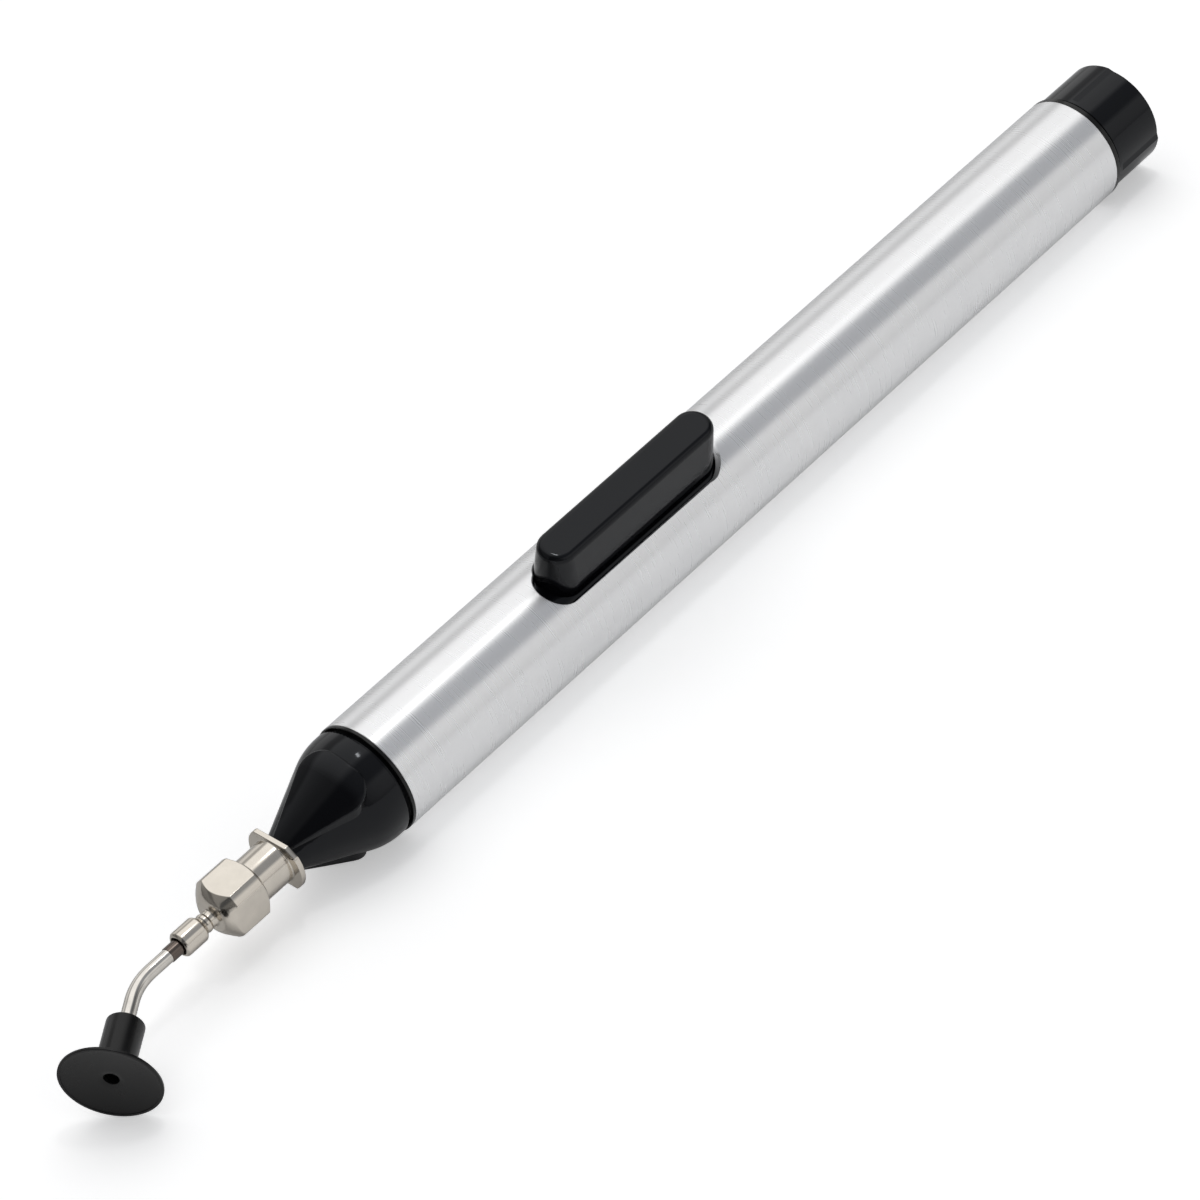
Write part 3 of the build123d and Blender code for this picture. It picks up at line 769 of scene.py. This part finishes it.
def suction_cup(material):
    """The soft cup: a dished face inside a flat rim, a thin flexible skirt and a stem that grips the tube."""
    rim = 5.6
    rim_width = 0.34
    rim_height = 0.36
    rim_step = 0.1
    skirt_outer = 4.2
    skirt_outer_height = 0.80
    skirt_inner = 2.75
    skirt_inner_height = 1.50
    stem = 2.1
    stem_start = 2.15
    height = 7.7
    grip = 4.1
    tube_hole = 0.84
    hole = 0.85
    hole_edge = 0.12
    hole_depth = 0.1
    dish = 0.45
    dish_curve = 0.8
    dish_swell = 0.25
    steps = 14
    seam = 0.025
    seam_start = 0.5
    outside = tube_hole + 0.2
    face = []
    for step in range(1, steps):
        share = step / steps
        radius = hole + hole_edge + (rim - rim_width - hole - hole_edge) * share
        depth = (dish - rim_step) * (1 - share) ** dish_curve * (1 + dish_swell * share)
        face.append((radius, rim_step + depth, 0))
    outline = [
        (hole, dish + hole_depth, 0.08),
        *face,
        (rim - rim_width, rim_step, 0.04),
        (rim - rim_width, 0, 0.04),
        (rim, 0, 0.1),
        (rim, rim_height, 0.1),
        (skirt_outer, skirt_outer_height, 0.4),
        (skirt_inner, skirt_inner_height, 0.3),
        (stem, stem_start, 0.35),
        (stem, height, 0.22),
        (tube_hole, height, 0.1),
        (tube_hole, grip, 0),
        (hole, grip, 0),
    ]
    profile = [(x, -y, x > outside and y > seam_start) for x, y in rounded(outline)]
    origin = needle_corner + needle_direction * cup_from_corner * mm
    upright = Vector((0, 0, 1))
    bm = lathe(profile, origin, needle_direction, segments=240, towards=upright, seam=seam)
    piece = as_piece(bm, "soft_cup", sharp_angle=50)
    dress(piece, material, "needle", "suction_cup")


def squeeze_bulb(material):
    """The rubber bulb under the button, turned round the pen's axis with a hollow inside."""
    low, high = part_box("squeeze_bulb")
    start = (low.x - barrel_front.x) / mm
    end = (high.x - barrel_front.x) / mm
    body = 4.4
    neck = 2.55
    wall = 0.9
    bore = 1.6
    bore_flare = 0.5
    shoulder = 6.0
    front = 12.0
    rear = 70.0
    seam = 0.05
    outside = bore + 0.8
    outline = [
        (neck, start, 0.2),
        (neck, front - shoulder, 1.2),
        (body, front, 2.4),
        (body, rear, 2.4),
        (neck, rear + shoulder, 1.2),
        (neck, end, 0.2),
        (bore, end, 0.1),
        (bore, rear + shoulder, 1.2),
        (body - wall, rear, 2.0),
        (body - wall, front + wall, 2.0),
        (bore + bore_flare, front - shoulder + wall, 0.8),
        (bore, start, 0.1),
    ]
    profile = [(x, y, x > outside) for x, y in rounded(outline, steps=8)]
    side = pen_up.cross(pen_axis)
    bm = lathe(profile, barrel_front, pen_axis, segments=160, towards=side, seam=seam)
    piece = as_piece(bm, "soft_bulb", sharp_angle=50)
    dress(piece, material, "barrel", "squeeze_bulb")
    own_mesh(piece)


def make_floor():
    """The floor under the pen: white to the camera, bright in polished pieces with a painted shade under the pen,
    and plain as a light.
    """
    bpy.ops.mesh.primitive_plane_add(size=floor_size, location=(barrel_front.x, 0, cad_box[0].z))
    floor = bpy.context.object
    floor.name = "floor"
    nodes = Nodes(bpy.data.materials.new("floor"))
    path = nodes.add("ShaderNodeLightPath").outputs
    glow = nodes.add("ShaderNodeEmission", {"Strength": floor_glow})
    answer = nodes.add("ShaderNodeBsdfDiffuse", {"Color": gray(floor_answer)})
    sheet = nodes.add("ShaderNodeBsdfDiffuse", {"Color": gray(floor_color)})
    white = nodes.add("ShaderNodeAddShader", {0: glow.outputs[0], 1: answer.outputs[0]})
    place = nodes.add("ShaderNodeTexCoord").outputs["Object"]
    across = nodes.add("ShaderNodeSeparateXYZ", {"Vector": place}).outputs["Y"]
    # Painted shade: the glow that polished pieces see fades to nothing beyond the turn, under the pen.
    glow_in_metal = nodes.spread(across, floor_glow_in_metal, floor_glow_in_painted_shade, *painted_shade_turn)
    in_metal = nodes.math("MULTIPLY", path["Is Glossy Ray"], glow_in_metal)
    share = nodes.math("ADD", nodes.in_sight(path), in_metal, clamp=True)
    mixed = nodes.add("ShaderNodeMixShader", {0: share, 1: sheet.outputs[0], 2: white.outputs[0]})
    nodes.feed(nodes.tree.nodes["Material Output"].inputs["Surface"], mixed.outputs[0])
    floor.data.materials.append(nodes.owner)


def make_world():
    """The studio round the pen as a light, and plain white to the camera."""
    world = bpy.data.worlds.new("studio")
    bpy.context.scene.world = world
    nodes = Nodes(world)
    direction = nodes.add("ShaderNodeTexCoord").outputs["Generated"]
    split = nodes.add("ShaderNodeSeparateXYZ", {"Vector": direction})
    towards_camera = nodes.math("MULTIPLY", split.outputs["Y"], -1.0)
    tilt = nodes.math("ARCTAN2", towards_camera, split.outputs["Z"])
    share = nodes.spread(tilt, 0, 1, start=-math.pi, end=math.pi)
    bands = [((angle + 180) / 360, gray(level, tint)) for angle, level, tint in studio]
    round_pen = nodes.ramp(share, bands)
    along = nodes.spread(split.outputs["X"], 0, 1, start=-1, end=1)
    along_pen = nodes.ramp(along, [((place + 1) / 2, gray(level)) for place, level in studio_ends])
    light = nodes.tree.nodes["Background"]
    nodes.feed(light.inputs["Color"], round_pen)
    nodes.feed(light.inputs["Strength"], along_pen)
    backdrop = nodes.add("ShaderNodeBackground", {"Color": gray(1.0), "Strength": 1.0})
    seen = nodes.in_sight(nodes.add("ShaderNodeLightPath").outputs)
    mixed = nodes.add("ShaderNodeMixShader", {0: seen, 1: light.outputs[0], 2: backdrop.outputs[0]})
    nodes.feed(nodes.tree.nodes["World Output"].inputs["Surface"], mixed.outputs[0])


def make_lamp():
    """The small lamp overhead, aimed at the middle of the pen."""
    data = bpy.data.lights.new("glint_lamp", "AREA")
    data.shape = "RECTANGLE"
    data.size = lamp_length
    data.size_y = lamp_width
    data.energy = lamp_power
    lamp = bpy.data.objects.new("glint_lamp", data)
    bpy.context.scene.collection.objects.link(lamp)
    lamp.location = lamp_place
    lamp.rotation_mode = "QUATERNION"
    lamp.rotation_quaternion = (camera_target - lamp_place).to_track_quat("-Z", "Y")


def make_finishes():
    """One material for each slot of the record."""
    return {
        "barrel_aluminium": turned_aluminium("turned_aluminium"),
        "ring_aluminium": turned_metal("ring_aluminium", color=(0.80, 0.80, 0.81), roughness=0.3),
        "black_gloss": gloss_black("gloss_black"),
        "black_moulding": matte_black("matte_black"),
        "black_rubber": rubber("ring_rubber", level=0.008, roughness=0.5, grain_size=0.2),
        "bulb_rubber": rubber("bulb_rubber", level=0.02, roughness=0.6, grain_size=0.3),
        "cup_rubber": rubber("cup_rubber", level=0.005, roughness=0.24, grain_size=0.12),
        "nipple_brass": turned_metal("turned_brass", color=(0.78, 0.60, 0.34), roughness=0.26),
        "hub_nickel": turned_metal("satin_nickel", color=(0.63, 0.585, 0.52), roughness=0.15),
        "needle_steel": drawn_steel("drawn_steel", color=(0.66, 0.63, 0.585), roughness=0.11),
        "sleeve_steel": drawn_steel("dark_sleeve", color=(0.14, 0.115, 0.10), roughness=0.22),
    }


finishes = make_finishes()
for name, node in frame["nodes"].items():
    node.data.materials.clear()
    node.data.materials.append(finishes[slots[name]])
slotted_barrel(finishes["barrel_aluminium"])
needle_hub(finishes["hub_nickel"])
suction_cup(finishes["cup_rubber"])
squeeze_bulb(finishes["bulb_rubber"])

make_camera()
make_floor()
make_world()
make_lamp()
bpy.context.scene.view_settings.view_transform = "Standard"
